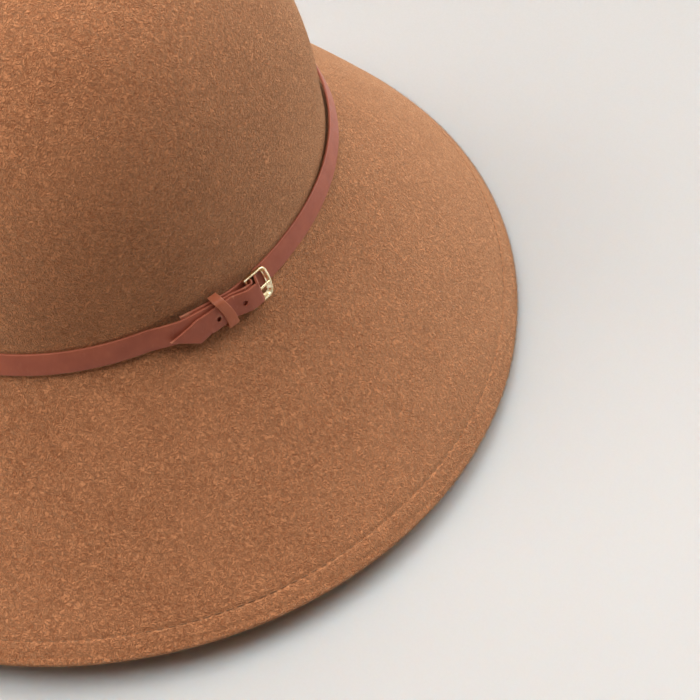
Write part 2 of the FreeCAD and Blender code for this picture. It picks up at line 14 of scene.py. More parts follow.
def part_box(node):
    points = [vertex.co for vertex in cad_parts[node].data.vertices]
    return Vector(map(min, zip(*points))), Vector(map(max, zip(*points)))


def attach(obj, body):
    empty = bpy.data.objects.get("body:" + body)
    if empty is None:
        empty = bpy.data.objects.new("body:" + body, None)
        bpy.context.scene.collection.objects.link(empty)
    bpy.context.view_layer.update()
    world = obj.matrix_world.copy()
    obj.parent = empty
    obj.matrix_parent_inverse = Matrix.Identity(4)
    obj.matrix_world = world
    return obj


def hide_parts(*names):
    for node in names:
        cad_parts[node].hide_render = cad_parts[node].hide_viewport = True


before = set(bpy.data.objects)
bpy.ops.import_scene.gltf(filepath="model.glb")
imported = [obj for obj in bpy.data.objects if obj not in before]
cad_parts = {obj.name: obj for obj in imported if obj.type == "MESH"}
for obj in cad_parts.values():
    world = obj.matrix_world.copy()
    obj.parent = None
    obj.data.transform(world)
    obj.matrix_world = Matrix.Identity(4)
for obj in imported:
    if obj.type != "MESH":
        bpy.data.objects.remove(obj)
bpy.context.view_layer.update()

MM = 0.001
UP = Vector((0, 0, 1))

# ---------------------------------------------------------------- sizes
CROWN_LOW, CROWN_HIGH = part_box("crown")
BRIM_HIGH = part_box("brim")[1]
ROOT_Z = CROWN_LOW.z                        # where crown and brim meet
HALF_WIDTH = CROWN_HIGH.x
HALF_LENGTH = CROWN_HIGH.y
CROWN_RISE = CROWN_HIGH.z - ROOT_Z
SIDE_REACH = BRIM_HIGH.x - HALF_WIDTH       # level distance from the root to the brim's edge
FRONT_REACH = BRIM_HIGH.y - HALF_LENGTH

FELT = 2.5 * MM
ROOT_INSET, ROOT_HEIGHT = 4.0 * MM, 5.0 * MM    # how far the crown draws in over its root, and how high up
LAP_HEIGHT = 9.0 * MM                       # the brim's collar that stands inside the crown
LAP_GAP = 0.05 * MM
BRIM_CROWN, ROOT_RELIEF = 2.0 * MM, 2.0 * MM    # the brim's bulge over a cone, and its hollow at the root
BRIM_STEEPNESS = 0.74                       # its rise for each unit along its slope
EDGE_ROUND = 2.4 * MM                       # height in which its edge rounds over
FOLD_DEPTH = 9.0 * MM                       # width of its turned-under edge
FALL = ROOT_Z - EDGE_ROUND
SLOPE = sqrt(FALL ** 2 + ((SIDE_REACH + FRONT_REACH) / 2) ** 2)
GROOVE = 9.0 * MM                           # the stitched groove, from the brim's edge along its slope
ROW_SHARE = 1 - GROOVE / SLOPE

CROWN_PUFF = 1.3 * MM                       # how much fuller the soft felt stands than its block
EDGE_LIFT, LIFT_FLARE = 8.0 * MM, 0.6       # the brim's lift at its front left, its flare for each unit of lift
LIFTED_TURN = -radians(68)                  # where it lifts most, round the oval from +X

RIBBON_LOW, RIBBON_WIDTH = 1.0 * MM, 25.0 * MM
RIBBON_GAP, RIBBON_THICK = 0.3 * MM, 0.8 * MM
THREAD = 0.4 * MM
EDGE_FIBRES, CROWN_FIBRES = 20000, 9000

STRAP_WIDTH, STRAP_THICK = 8.0 * MM, 1.0 * MM
STRAP_LEAN = 0.40                           # how far the band leans in for each unit of height
STRAP_RAISE, STRAP_INSET = 1.0 * MM, 0.45 * MM
SLANT = sqrt(1 + STRAP_LEAN ** 2)
MID_RISE = STRAP_WIDTH / SLANT / 2
HEEL_TURN = -radians(16.05)                 # the buckle's heel bar, round the oval from +X
PACE = sqrt((HALF_WIDTH * sin(HEEL_TURN)) ** 2 + (HALF_LENGTH * cos(HEEL_TURN)) ** 2)
BAR_SPACING, BAR_HEIGHT = 8.4 * MM, 2.75 * MM
BAR_GIRTH = 0.72 * MM
GAP = 0.3 * MM                              # between two layers of leather
NEAR = GAP + STRAP_THICK / 2                # the layers' distances out from the band's seat
FOLD_BACK = 2 * GAP + 0.6 * MM + STRAP_THICK / 2
OVER_FOLD = FOLD_BACK + STRAP_THICK + GAP
TAIL = OVER_FOLD + STRAP_THICK + GAP
LOOP = 0.75 * MM + 0.7 * GAP + STRAP_THICK / 2  # the fold's radius round the heel bar
TAIL_OVER_HEEL = BAR_HEIGHT + LOOP + STRAP_THICK + 2 * GAP
FOLD_BACK_END, TAIL_END = -27.7 * MM, -33.4 * MM
TAIL_SLANT = 8.5 * MM
TAIL_MID = TAIL_END + TAIL_SLANT / 2
BUCKLE_SAG = 1.2 * MM                       # how far the buckle's weight pulls the band down
STAND_OFF, STAND_LENGTH = 1.1 * MM, 130 * MM    # how far the band stands off beside the buckle, for how long
KEEPER_ALONG = -11.8 * MM
KEEPER_WIDTH, KEEPER_THICK = 4.0 * MM, 0.7 * MM

VIEW_AZIMUTH, VIEW_HEIGHT, VIEW_DISTANCE = radians(40), radians(44.03), 672.5 * MM
VIEW_PAN, VIEW_TILT, VIEW_ROLL = radians(-7.23), radians(-7.02), radians(8.96)
VIEW_LENS = 92.571
FLOOR_HALF, FLOOR_Z = 1.3, -0.0002
LAMP_DISTANCE, LAMP_AIM = 1.5, 0.08
# name, degrees round the hat from behind the view, degrees up, side in metres, watts
LAMPS = [("back_low", 0, 28, 0.9, 6.8), ("back_left", -30, 38, 0.35, 1.6), ("back_high", -10, 60, 0.5, 7.8),
         ("overhead", 0, 89.9, 0.9, 5.2), ("left", -90, 50, 0.9, 19.5), ("right_high", 75, 40, 0.7, 7.2),
         ("right_low", 60, 22, 0.7, 9.8)]


# ---------------------------------------------------------------- colours and nodes
def linear(code):
    """An sRGB hex colour as the linear values that sockets take."""
    parts = [int(code[n:n + 2], 16) / 255 for n in (1, 3, 5)]
    return tuple(c / 12.92 if c <= 0.04045 else ((c + 0.055) / 1.055) ** 2.4 for c in parts) + (1.0,)


def plug(tree, socket, source):
    """Links a socket to another node's output, or sets its value."""
    if isinstance(source, bpy.types.NodeSocket):
        tree.links.new(source, socket)
    else:
        socket.default_value = source


def add(tree, kind, inputs, **settings):
    """A node with its settings and its inputs, each linked or set."""
    node = tree.nodes.new(kind)
    for key, value in settings.items():
        setattr(node, key, value)
    for name, source in inputs.items():
        plug(tree, node.inputs[name], source)
    return node


def mixed(tree, share, one, other):
    """A colour mix, returned as its result socket."""
    node = add(tree, "ShaderNodeMix", {}, data_type="RGBA")
    for name, source in (("Factor", share), ("A", one), ("B", other)):
        plug(tree, next(s for s in node.inputs if s.name == name and s.enabled), source)
    return next(s for s in node.outputs if s.enabled)


def noise(tree, place, size, detail=3.0, rough=0.55, distort=0.0):
    """Noise whose features are size millimetres across, from a position in millimetres."""
    return add(tree, "ShaderNodeTexNoise", {"Vector": place, "Scale": 1 / size, "Detail": detail,
                                            "Roughness": rough, "Distortion": distort}).outputs["Fac"]


def spread(tree, value, low, high, to_low=0.0, to_high=1.0):
    """A value stretched from one range to another, clamped."""
    return add(tree, "ShaderNodeMapRange", {"Value": value, "From Min": low, "From Max": high,
                                            "To Min": to_low, "To Max": to_high}).outputs["Result"]


def calculated(tree, operation, one, other=0.0):
    """The result of a Math node."""
    return add(tree, "ShaderNodeMath", {0: one, 1: other}, operation=operation).outputs["Value"]


def mapped(tree, place, degrees=0.0, scale=(1.0, 1.0, 1.0)):
    """A position scaled, then turned about Z."""
    return add(tree, "ShaderNodeMapping", {"Vector": place, "Rotation": (0, 0, radians(degrees)),
                                           "Scale": scale}).outputs["Vector"]


def millimetres(tree, stretch=(1, 1, 1)):
    """The position on the object, in millimetres."""
    place = add(tree, "ShaderNodeTexCoord", {}).outputs["Object"]
    return mapped(tree, place, scale=tuple(1000 / s for s in stretch))


def relief(tree, height, strength, depth):
    """A bump from a height, depth deep at full strength."""
    return add(tree, "ShaderNodeBump", {"Height": height, "Strength": strength,
                                        "Distance": depth}).outputs["Normal"]


def material(name):
    """A new material and its node tree."""
    made = bpy.data.materials.new(name)
    made.use_nodes = True
    return made, made.node_tree


def dressed(made, inputs):
    """The material with its surface shader's inputs, each linked or set."""
    tree = made.node_tree
    for name, source in inputs.items():
        plug(tree, tree.nodes["Principled BSDF"].inputs[name], source)
    return made


# ---------------------------------------------------------------- materials
def wool_felt(name, deep, middle, pale):
    """Camel wool felt, brushed and steamed: a fine crinkled nap with paler hairs and darker strands."""
    made, tree = material(name)
    place = millimetres(tree)
    nap_at = mapped(tree, place, -40, (0.6, 1.0, 1.0))
    strand_at = add(tree, "ShaderNodeVectorMath", {0: place, 1: (7.3, 2.1, 5.9)},
                    operation="ADD").outputs["Vector"]
    cloud = noise(tree, place, 22.0, 2.0)
    tuft = noise(tree, place, 2.4, 2.0)
    nap = noise(tree, nap_at, 1.0, 3.0, 0.6, 0.9)
    hair = noise(tree, nap_at, 0.4, 2.0, 0.7, 0.4)
    level = noise(tree, strand_at, 1.7, 2.0, 0.55, 1.6)
    strand = calculated(tree, "ABSOLUTE", calculated(tree, "SUBTRACT", level, 0.5))
    tone = mixed(tree, spread(tree, nap, 0.36, 0.64), linear(deep), linear(pale))
    tone = mixed(tree, 0.38, tone, linear(middle))
    tone = mixed(tree, spread(tree, strand, 0.0, 0.04, 0.6, 0.0), tone, linear(deep))
    tone = mixed(tree, spread(tree, strand, 0.05, 0.14, 0.0, 0.2), tone, linear(pale))
    tone = mixed(tree, spread(tree, cloud, 0.35, 0.7, 0.0, 0.16), tone, linear(pale))
    tone = mixed(tree, spread(tree, tuft, 0.5, 0.75, 0.0, 0.16), tone, linear(deep))
    tone = mixed(tree, spread(tree, hair, 0.6, 0.78, 0.0, 0.4), tone, linear(pale))
    height = mixed(tree, 0.3, nap, hair)
    height = mixed(tree, 0.35, height, spread(tree, strand, 0.0, 0.12))
    return dressed(made, {"Base Color": tone, "Normal": relief(tree, height, 1.0, 0.9 * MM),
                          "Roughness": spread(tree, nap, 0.3, 0.7, 0.8, 0.98), "Specular IOR Level": 0.15,
                          "Sheen Weight": 0.55, "Sheen Roughness": 0.4, "Sheen Tint": linear("#F2DDB4")})


def belt_leather(name, body, edge_and_crease_tone, deep):
    """Smooth vegetable-tanned leather, rolled and waxed, its fine pores pressed nearly flat."""
    made, tree = material(name)
    place = millimetres(tree)
    cloud = noise(tree, place, 7.0)
    pores = add(tree, "ShaderNodeTexVoronoi", {"Vector": place, "Scale": 1 / 0.42, "Randomness": 0.9},
                feature="DISTANCE_TO_EDGE").outputs["Distance"]
    creases = noise(tree, millimetres(tree, (1, 1, 4)), 0.9, 4.0, 0.6, 0.5)
    edges = add(tree, "ShaderNodeNewGeometry", {}).outputs["Pointiness"]
    tone = mixed(tree, spread(tree, cloud, 0.3, 0.72, 0.45, 1.0), linear(deep), linear(body))
    # sharp edges, found by the mesh's pointiness, turn lighter, and so do the creases
    tone = mixed(tree, spread(tree, edges, 0.52, 0.6, 0.0, 0.6), tone, linear(edge_and_crease_tone))
    tone = mixed(tree, spread(tree, creases, 0.56, 0.78, 0.0, 0.22), tone, linear(edge_and_crease_tone))
    height = mixed(tree, 0.5, spread(tree, pores, 0.0, 0.12), creases)
    return dressed(made, {"Base Color": tone, "Normal": relief(tree, height, 0.22, 0.12 * MM),
                          "Roughness": spread(tree, creases, 0.3, 0.75, 0.42, 0.58),
                          "Specular IOR Level": 0.4, "Sheen Weight": 0.05})


def pale_gold(name):
    """Cast zinc plated pale gold and polished, with fine rub marks from wear."""
    made, tree = material(name)
    rub = noise(tree, millimetres(tree, (3, 3, 0.6)), 0.5, 3.0, 0.6)
    cloud = noise(tree, millimetres(tree), 3.0, 2.0)
    tone = mixed(tree, spread(tree, cloud, 0.35, 0.7), linear("#EAD3A4"), linear("#F7E9C9"))
    return dressed(made, {"Base Color": tone, "Normal": relief(tree, rub, 0.08, 0.05 * MM),
                          "Roughness": spread(tree, rub, 0.3, 0.75, 0.14, 0.3), "Metallic": 1.0})


def spun_thread(name, pale, dark):
    """Spun polyester thread, its twist showing as slanting bands."""
    made, tree = material(name)
    twist = add(tree, "ShaderNodeTexWave", {"Vector": millimetres(tree), "Scale": 1.6, "Distortion": 1.5,
                                            "Detail": 1.0}, bands_direction="DIAGONAL").outputs["Fac"]
    return dressed(made, {"Base Color": mixed(tree, twist, linear(dark), linear(pale)),
                          "Normal": relief(tree, twist, 0.5, 0.1 * MM), "Roughness": 0.75})


def grosgrain(name):
    """Woven grosgrain ribbon: upright ribs 0.9 mm apart under a fine weave."""
    made, tree = material(name)
    place = add(tree, "ShaderNodeTexCoord", {}).outputs["UV"]
    ribs = add(tree, "ShaderNodeTexWave", {"Vector": place, "Scale": 0.349, "Distortion": 0.15}).outputs["Fac"]
    weave = noise(tree, millimetres(tree), 0.25, 2.0)
    tone = mixed(tree, ribs, linear("#3A2519"), linear("#6B4A36"))
    tone = mixed(tree, spread(tree, weave, 0.4, 0.7, 0.0, 0.4), tone, linear("#8A6650"))
    return dressed(made, {"Base Color": tone, "Normal": relief(tree, ribs, 0.6, 0.25 * MM),
                          "Roughness": 0.6, "Sheen Weight": 0.15})


def drawn_steel(name):
    """Drawn steel wire with fine draw marks, closed inside the brim's fold."""
    made, tree = material(name)
    marks = noise(tree, millimetres(tree, (6, 6, 0.3)), 0.6)
    return dressed(made, {"Base Color": mixed(tree, marks, linear("#8C8C8A"), linear("#B9B8B4")),
                          "Roughness": spread(tree, marks, 0.3, 0.7, 0.3, 0.5), "Metallic": 1.0})


def pale_paper(name):
    """Matt paper with a faint grain, a little translucent, with painted shade: its colour is darker towards the
    back of the hat and paler towards its front, as the light falls.
    """
    made, tree = material(name)
    turned = mapped(tree, millimetres(tree), -40)
    across = add(tree, "ShaderNodeSeparateXYZ", {"Vector": turned}).outputs["Y"]
    grain = noise(tree, millimetres(tree), 0.8, 2.0)
    # painted shade and light: the floor's colour goes from darker behind the hat to paler in front of it
    tone = mixed(tree, spread(tree, across, 400, -260), linear("#9C9894"), linear("#D3CFCB"))
    tone = mixed(tree, spread(tree, grain, 0.3, 0.7, 0.0, 0.04), tone, linear("#F0ECE8"))
    return dressed(made, {"Base Color": tone, "Roughness": 0.9, "Specular IOR Level": 0.1,
                          "Subsurface Weight": 1.0, "Subsurface Radius": (1.0, 0.72, 0.58),
                          "Subsurface Scale": 0.03})


# ---------------------------------------------------------------- forms
def crown_point(turn, rise, depth=0.0, top=CROWN_RISE):
    """A point of the crown, depth under its outer surface, rise above its root."""
    inset = ROOT_INSET * (1 - exp(-rise / ROOT_HEIGHT)) + depth - CROWN_PUFF * sin(pi * rise / CROWN_RISE)
    dome = sqrt(max(0.0, 1 - (rise / top) ** 2))
    return Vector(((HALF_WIDTH - inset) * dome * cos(turn), (HALF_LENGTH - inset) * dome * sin(turn),
                   ROOT_Z + rise))


def edge_lift(turn, share):
    """How far the brim rises off the table, most at its front left, where it flares up a little."""
    return EDGE_LIFT * max(0.0, cos(turn - LIFTED_TURN)) ** 1.2 * max(0.0, share) ** 2.5


def brim_point(turn, share, drop=0.0):
    """A point of the brim's upper side, share of the way from its root to its edge, or drop under it."""
    fall = share * FALL
    hollow = ROOT_RELIEF * (1 - share) * (1 - exp(-fall / ROOT_HEIGHT))
    rise = edge_lift(turn, share)
    grow = 4 * BRIM_CROWN * share * (1 - share) - hollow + LIFT_FLARE * rise
    return Vector(((HALF_WIDTH + SIDE_REACH * share + grow) * cos(turn),
                   (HALF_LENGTH + FRONT_REACH * share + grow) * sin(turn), ROOT_Z - fall - drop + rise))


def edge_point(turn, inset, height):
    """A point of the brim's rounded edge, inset from its widest line."""
    rise = edge_lift(turn, 1)
    grow = LIFT_FLARE * rise - inset
    return Vector(((HALF_WIDTH + SIDE_REACH + grow) * cos(turn),
                   (HALF_LENGTH + FRONT_REACH + grow) * sin(turn), height + rise))


def swell(point, size, amount):
    """A soft unevenness, the same in every run, with features of one size."""
    return amount * value_noise(point / size)


def circle(radius, count):
    """Points evenly round a circle, as pairs."""
    turns = [2 * pi * n / count for n in range(count)]
    return [(radius * cos(turn), radius * sin(turn)) for turn in turns]


def grid_faces(rows, around, first=0, closed=False):
    """Faces between rings that follow each other; a closed skin joins the last to the first."""
    faces = []
    for row in range(rows if closed else rows - 1):
        here, ahead = first + row * around, first + (row + 1) % rows * around
        faces += [(here + n, here + (n + 1) % around, ahead + (n + 1) % around, ahead + n)
                  for n in range(around)]
    return faces


def tube_faces(rows, around, first=0):
    """Faces of a tube through rings that follow each other, with flat ends."""
    last = first + (rows - 1) * around
    return grid_faces(rows, around, first) + [tuple(first + n for n in range(around))[::-1],
                                              tuple(last + n for n in range(around))]


def mesh_piece(name, points, faces, skin, body, *nodes):
    """A smooth mesh, its faces turned outward, that rides on a body and stands for the nodes named."""
    mesh = bpy.data.meshes.new(name)
    mesh.from_pydata(points, [], faces)
    shell = bmesh.new()
    shell.from_mesh(mesh)
    if shell.calc_volume(signed=True) < 0:
        bmesh.ops.reverse_faces(shell, faces=shell.faces)
        shell.to_mesh(mesh)
    shell.free()
    mesh.shade_smooth()
    mesh.materials.append(skin)
    piece = bpy.data.objects.new(name, mesh)
    bpy.context.scene.collection.objects.link(piece)
    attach(piece, body)
    if nodes:
        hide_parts(*nodes)
    return piece


# ---------------------------------------------------------------- felt
TURNS = [2 * pi * n / 300 for n in range(300)]


def make_crown(skin):
    """The blocked dome with its inside, down to the lap where the brim's collar stands."""
    outer_rings, inner_rings = 56, 30
    top_in = CROWN_RISE - FELT
    start, lap = 9 * MM / CROWN_RISE, LAP_HEIGHT / top_in
    outer = [(rise * MM, 0.0, CROWN_RISE) for rise in (0.0, 0.6, 1.3, 2.2, 3.4, 5.0, 7.0)]
    outer += [(CROWN_RISE * sin(start + (pi / 2 - start) * n / outer_rings), 0.0, CROWN_RISE)
              for n in range(outer_rings)]
    inner = [(top_in * sin(lap + (pi / 2 - lap) * n / inner_rings), FELT, top_in)
             for n in reversed(range(inner_rings))]
    inner += [(LAP_HEIGHT * share, FELT / 2, CROWN_RISE) for share in (1.0, 0.5, 0.0)]
    points = []
    for rise, depth, top in outer + inner:
        for turn in TURNS:
            point = crown_point(turn, rise, depth, top)
            level = min(1.0, rise / (20 * MM))
            points.append(point + Vector((cos(turn), sin(turn), 0)) * swell(point, 0.045, 0.5 * MM * level))
    around = len(TURNS)
    first_in = len(outer) * around
    last_out, last_in = first_in - around, first_in + (len(inner) - 1) * around
    faces = grid_faces(len(outer), around) + grid_faces(len(inner), around, first_in)
    points += [Vector((0, 0, ROOT_Z + CROWN_RISE)), Vector((0, 0, ROOT_Z + top_in))]
    for n in range(around):
        ahead = (n + 1) % around
        faces += [(last_out + n, last_out + ahead, len(points) - 2),
                  (first_in + ahead, first_in + n, len(points) - 1),
                  (last_in + n, last_in + ahead, ahead, n)]
    mesh_piece("felt_crown", points, faces, skin, "hat", "crown")


def groove_depth(share):
    """How far the two rows near the brim's edge press the felt down, and its welt stands up."""
    inside = (1 - share) * SLOPE
    row = 0.45 * MM * exp(-((inside - GROOVE) / (0.65 * MM)) ** 2)
    faint = 0.2 * MM * exp(-((inside - 2.6 * MM) / (0.6 * MM)) ** 2)
    welt = 0.25 * MM * exp(-((inside - 0.6 * GROOVE) / (0.3 * GROOVE)) ** 2)
    return row + faint - welt


def make_brim(skin):
    """The sloping brim, all the way round its section: edge, upper side, collar, underside and fold."""
    near_rings, far_rings, under_rings = 34, 34, 24
    near = [1 - n * 0.4 * MM / SLOPE for n in range(near_rings)]
    far = [near[-1] * (1 - n / far_rings) for n in range(1, far_rings + 1)]
    drop = FELT * sqrt(1 + (ROOT_Z / ((SIDE_REACH + FRONT_REACH) / 2)) ** 2)
    fold_top = FOLD_DEPTH * BRIM_STEEPNESS
    last = (ROOT_Z - drop - fold_top) / FALL
    rings = []
    for inset, height in ((0.6, 0.0), (0.3, 0.16), (0.1, 0.4), (0.02, 0.7)):
        rings.append([edge_point(turn, inset * EDGE_ROUND, height * EDGE_ROUND) for turn in TURNS])
    for share in near + far:
        level = min(1.0, (1 - share) * SLOPE / (12 * MM), share * SLOPE / (8 * MM))
        ring = [brim_point(turn, share, groove_depth(share)) for turn in TURNS]
        rings.append([point + UP * swell(point, 0.06, 0.7 * MM * level) for point in ring])
    for rise in (0.3, 0.6, 1.0):
        rings.append([crown_point(turn, rise * LAP_HEIGHT, FELT / 2 + LAP_GAP) for turn in TURNS])
    for rise in (1.0, 0.5, 0.0):
        rings.append([crown_point(turn, rise * LAP_HEIGHT, FELT, CROWN_RISE - FELT) for turn in TURNS])
    for n in range(1, under_rings + 1):
        rings.append([brim_point(turn, last * n / under_rings, drop) for turn in TURNS])
    for height in (fold_top, fold_top / 2, 0.0):
        share = (ROOT_Z - 2 * drop - height) / FALL
        rings.append([brim_point(turn, share, 2 * drop) for turn in TURNS])
    points = [point for ring in rings for point in ring]
    mesh_piece("felt_brim", points, grid_faces(len(rings), len(TURNS), closed=True), skin, "hat", "brim")


def edge_row(turn):
    """The stitched row's middle, in the brim's groove."""
    return brim_point(turn, ROW_SHARE, groove_depth(ROW_SHARE) - 0.05 * MM)


def ribbon_row(turn):
    """The middle of the row of stitches along the ribbon's lower edge."""
    return crown_point(turn, 2.0 * MM, FELT + 1.3 * MM, CROWN_RISE - FELT)


def make_stitches(name, count, row, share_of_pitch, skin, node):
    """Separate stitches round an oval row."""
    sides, steps = 6, 7
    points, faces = [], []
    for stitch in range(count):
        faces += tube_faces(steps, sides, len(points))
        middle = (stitch + 0.5) * 2 * pi / count
        half = share_of_pitch * pi / count
        for step in range(steps):
            share = step / (steps - 1) * 2 - 1
            turn = middle + half * share
            centre = row(turn) - UP * (0.6 * THREAD * share ** 4)
            ahead = (row(turn + 0.001) - row(turn - 0.001)).normalized()
            side = ahead.cross(UP).normalized()
            up = side.cross(ahead)
            girth = THREAD / 2 * sqrt(max(0.08, 1 - share ** 6))
            points += [centre + side * aside + up * high for aside, high in circle(girth, sides)]
    mesh_piece(name, points, faces, skin, "hat", node)


def make_wire(skin):
    """The spring wire, closed inside the brim's fold."""
    sides = 10
    low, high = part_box("brim_wire")
    girth = (high.z - low.z) / 2
    points = []
    for turn in TURNS:
        rise = edge_lift(turn, 0.97)
        out = Vector((cos(turn), sin(turn), 0))
        centre = Vector(((high.x - girth) * cos(turn), (high.y - girth) * sin(turn), low.z + girth + rise))
        centre += out * (LIFT_FLARE * rise)
        points += [centre + out * aside + UP * above for aside, above in circle(girth, sides)]
    faces = grid_faces(len(TURNS), sides, closed=True)
    mesh_piece("edge_wire", points, faces, skin, "hat", "brim_wire")


def make_ribbon(skin):
    """The grosgrain ribbon inside the crown's root."""
    near = FELT + RIBBON_GAP
    rises = [RIBBON_LOW + RIBBON_WIDTH * n / 14 for n in range(15)]
    profile = [(rise, near) for rise in rises] + [(rise, near + RIBBON_THICK) for rise in rises[::-1]]
    points = []
    for rise, depth in profile:
        points += [crown_point(turn, rise, depth, CROWN_RISE - FELT) for turn in TURNS]
    faces = grid_faces(len(profile), len(TURNS), closed=True)
    piece = mesh_piece("inner_ribbon", points, faces, skin, "hat", "sweatband")
    layer = piece.data.uv_layers.new(name="weave")
    for loop in piece.data.loops:
        row, column = divmod(loop.vertex_index, len(TURNS))
        layer.data[loop.index].uv = (TURNS[column] * HALF_LENGTH / MM, profile[row][0] / MM)


def make_fuzz(skin):
    """Loose wool fibres that stand off the felt, thickest along the brim's edge."""
    chance = random.Random(7)
    points, faces = [], []

    def fibre(root, normal, along, length):
        lean = Vector([chance.uniform(-1, 1) for _ in range(3)]) * 0.75
        way = (normal + lean).normalized()
        side = way.cross(along).normalized() * 0.04 * MM
        bend = Vector([chance.uniform(-1, 1) for _ in range(3)]) * 0.35
        middle = root + way * (length * 0.55)
        tip = middle + (way + bend).normalized() * (length * 0.45)
        first = len(points)
        points.extend([root - side, root + side, middle + side * 0.7, middle - side * 0.7, tip])
        faces.extend([(first, first + 1, first + 2, first + 3), (first + 3, first + 2, first + 4)])

    for number in range(EDGE_FIBRES):       # over the brim's round edge and just above it
        turn = chance.uniform(0, 2 * pi)
        share = 1 - abs(chance.gauss(0, 0.01))
        root = brim_point(turn, share) - UP * 0.1 * MM
        if number % 2:
            root = edge_point(turn, 0.1 * MM, chance.uniform(0.3, 2.2) * MM)
        out = Vector((HALF_LENGTH * cos(turn), HALF_WIDTH * sin(turn), 0)).normalized()
        fibre(root, out + UP * chance.uniform(-0.2, 1.3), UP.cross(out), chance.uniform(0.4, 1.3) * MM)
    for _ in range(CROWN_FIBRES):
        turn, rise = chance.uniform(0, 2 * pi), CROWN_RISE * chance.random()
        root = crown_point(turn, rise)
        out = Vector((root.x / HALF_WIDTH ** 2, root.y / HALF_LENGTH ** 2, (root.z - ROOT_Z) / CROWN_RISE ** 2))
        fibre(root, out.normalized(), Vector((-sin(turn), cos(turn), 0)), chance.uniform(0.25, 0.75) * MM)
    mesh_piece("felt_fuzz", points, faces, skin, "hat")


# ---------------------------------------------------------------- leather band
def spot(along, out, rise):
    """A point on the band: along it from the heel bar, out from its seat, rise above its lower edge."""
    turn = HEEL_TURN + along / PACE
    outward = Vector((HALF_LENGTH * cos(turn), HALF_WIDTH * sin(turn), 0)).normalized()
    foot = Vector((HALF_WIDTH * cos(turn), HALF_LENGTH * sin(turn), ROOT_Z + STRAP_RAISE + rise))
    return foot + outward * (out - STRAP_INSET - STRAP_LEAN * rise)


def rounded_path(corners, pitch=0.8 * MM):
    """Points through corners (along, out, radius), each rounded by an arc, then evenly divided."""
    points = [Vector(corners[0][:2])]
    for before, corner, after in zip(corners, corners[1:], corners[2:]):
        here = Vector(corner[:2])
        back, ahead = (Vector(before[:2]) - here).normalized(), (Vector(after[:2]) - here).normalized()
        bend = pi - back.angle(ahead)
        reach = corner[2] * sin(bend / 2) / cos(bend / 2)
        centre = here + (back + ahead).normalized() * (corner[2] / cos(bend / 2))
        first, second = here + back * reach - centre, here + ahead * reach - centre
        for n in range(9):
            points.append(centre + (first * sin((1 - n / 8) * bend) + second * sin(n / 8 * bend)) / sin(bend))
    points.append(Vector(corners[-1][:2]))
    close = [points[0]]
    for point in points[1:]:
        begin, run = close[-1], point - close[-1]
        count = max(1, ceil(run.length / pitch))
        close += [begin + run * (n / count) for n in range(1, count + 1)]
    return close


def sag(along):
    """How far the band hangs under its seat near the buckle."""
    return BUCKLE_SAG * exp(-(along / (13 * MM if along < 0 else 38 * MM)) ** 2)


def band_stations():
    """The band's middle line: (along, out, rise over its seat, share of the tail's slanted end)."""
    near_edge = KEEPER_ALONG + KEEPER_WIDTH
    fold_back = rounded_path([(FOLD_BACK_END, FOLD_BACK, 0), (near_edge, FOLD_BACK, 8 * MM),
                              (-1.5 * MM, BAR_HEIGHT - LOOP, 6 * MM), (0, BAR_HEIGHT - LOOP, 0)])[:-1]
    loop = [Vector((LOOP * sin(pi * n / 16), BAR_HEIGHT - LOOP * cos(pi * n / 16))) for n in range(17)]
    over = rounded_path([(0, BAR_HEIGHT + LOOP, 0), (-1.5 * MM, BAR_HEIGHT + LOOP, 6 * MM),
                         (near_edge, OVER_FOLD, 8 * MM), (FOLD_BACK_END - STRAP_THICK, OVER_FOLD, 8 * MM),
                         (-40.8 * MM, NEAR, 0)])[1:]
    foot = BAR_SPACING - 3.0 * MM
    head = foot - (TAIL_OVER_HEEL - NEAR) / sqrt(3)     # it climbs to the heel bar at 60 degrees
    tail = rounded_path([(3 * BAR_SPACING, NEAR, 0), (foot, NEAR, 1.6 * MM), (head, TAIL_OVER_HEEL, 1.3 * MM),
                         (-2.5 * MM, TAIL_OVER_HEEL, 6 * MM), (near_edge, TAIL, 8 * MM),
                         (-20 * MM, TAIL, 8 * MM), (TAIL_MID, TAIL - GAP / 2, 0)])
    whole = 2 * pi * PACE
    start, stop = over[-1].x, tail[0].x - whole
    round_crown = [Vector((start + (stop - start) * n / 220, NEAR)) for n in range(1, 220)]
    stations = []
    for point in fold_back:
        apart = min(1.0, max(0.0, -3 * MM - point.x) / (22 * MM))
        stations.append((point.x, point.y, 0.3 * MM * apart - sag(point.x), 0.0))
    for point in loop + over + round_crown:
        beyond = (point.x + whole - tail[0].x) / STAND_LENGTH
        stand = STAND_OFF * sin(pi * beyond) if 0 < beyond < 1 else 0.0
        stations.append((point.x, point.y + stand, -sag(point.x) - sag(point.x + whole), 0.0))
    for point in tail:
        slanted = min(1.0, max(0.0, -15 * MM - point.x) / (-15 * MM - TAIL_MID))
        droop = 0.1 * max(0.0, -9 * MM - point.x) + 0.18 * max(0.0, -21.5 * MM - point.x)
        stations.append((point.x - whole, point.y, -droop - sag(point.x), slanted))
    return stations


def strip_section(width, thick, rounding):
    """A strap's section as (across, through) pairs, its corners rolled over."""
    half, side, flats = width / 2 - rounding, thick / 2, 4
    section = []
    for number, (across, through) in enumerate([(1, 1), (-1, 1), (-1, -1), (1, -1)]):
        for n in range(4):
            turn = pi / 2 * (number + n / 3)
            section.append((across * half + rounding * cos(turn),
                            through * (side - rounding) + rounding * sin(turn)))
        if number in (0, 2):
            section += [(across * (half - 2 * half * n / flats), through * side) for n in range(1, flats)]
    return section


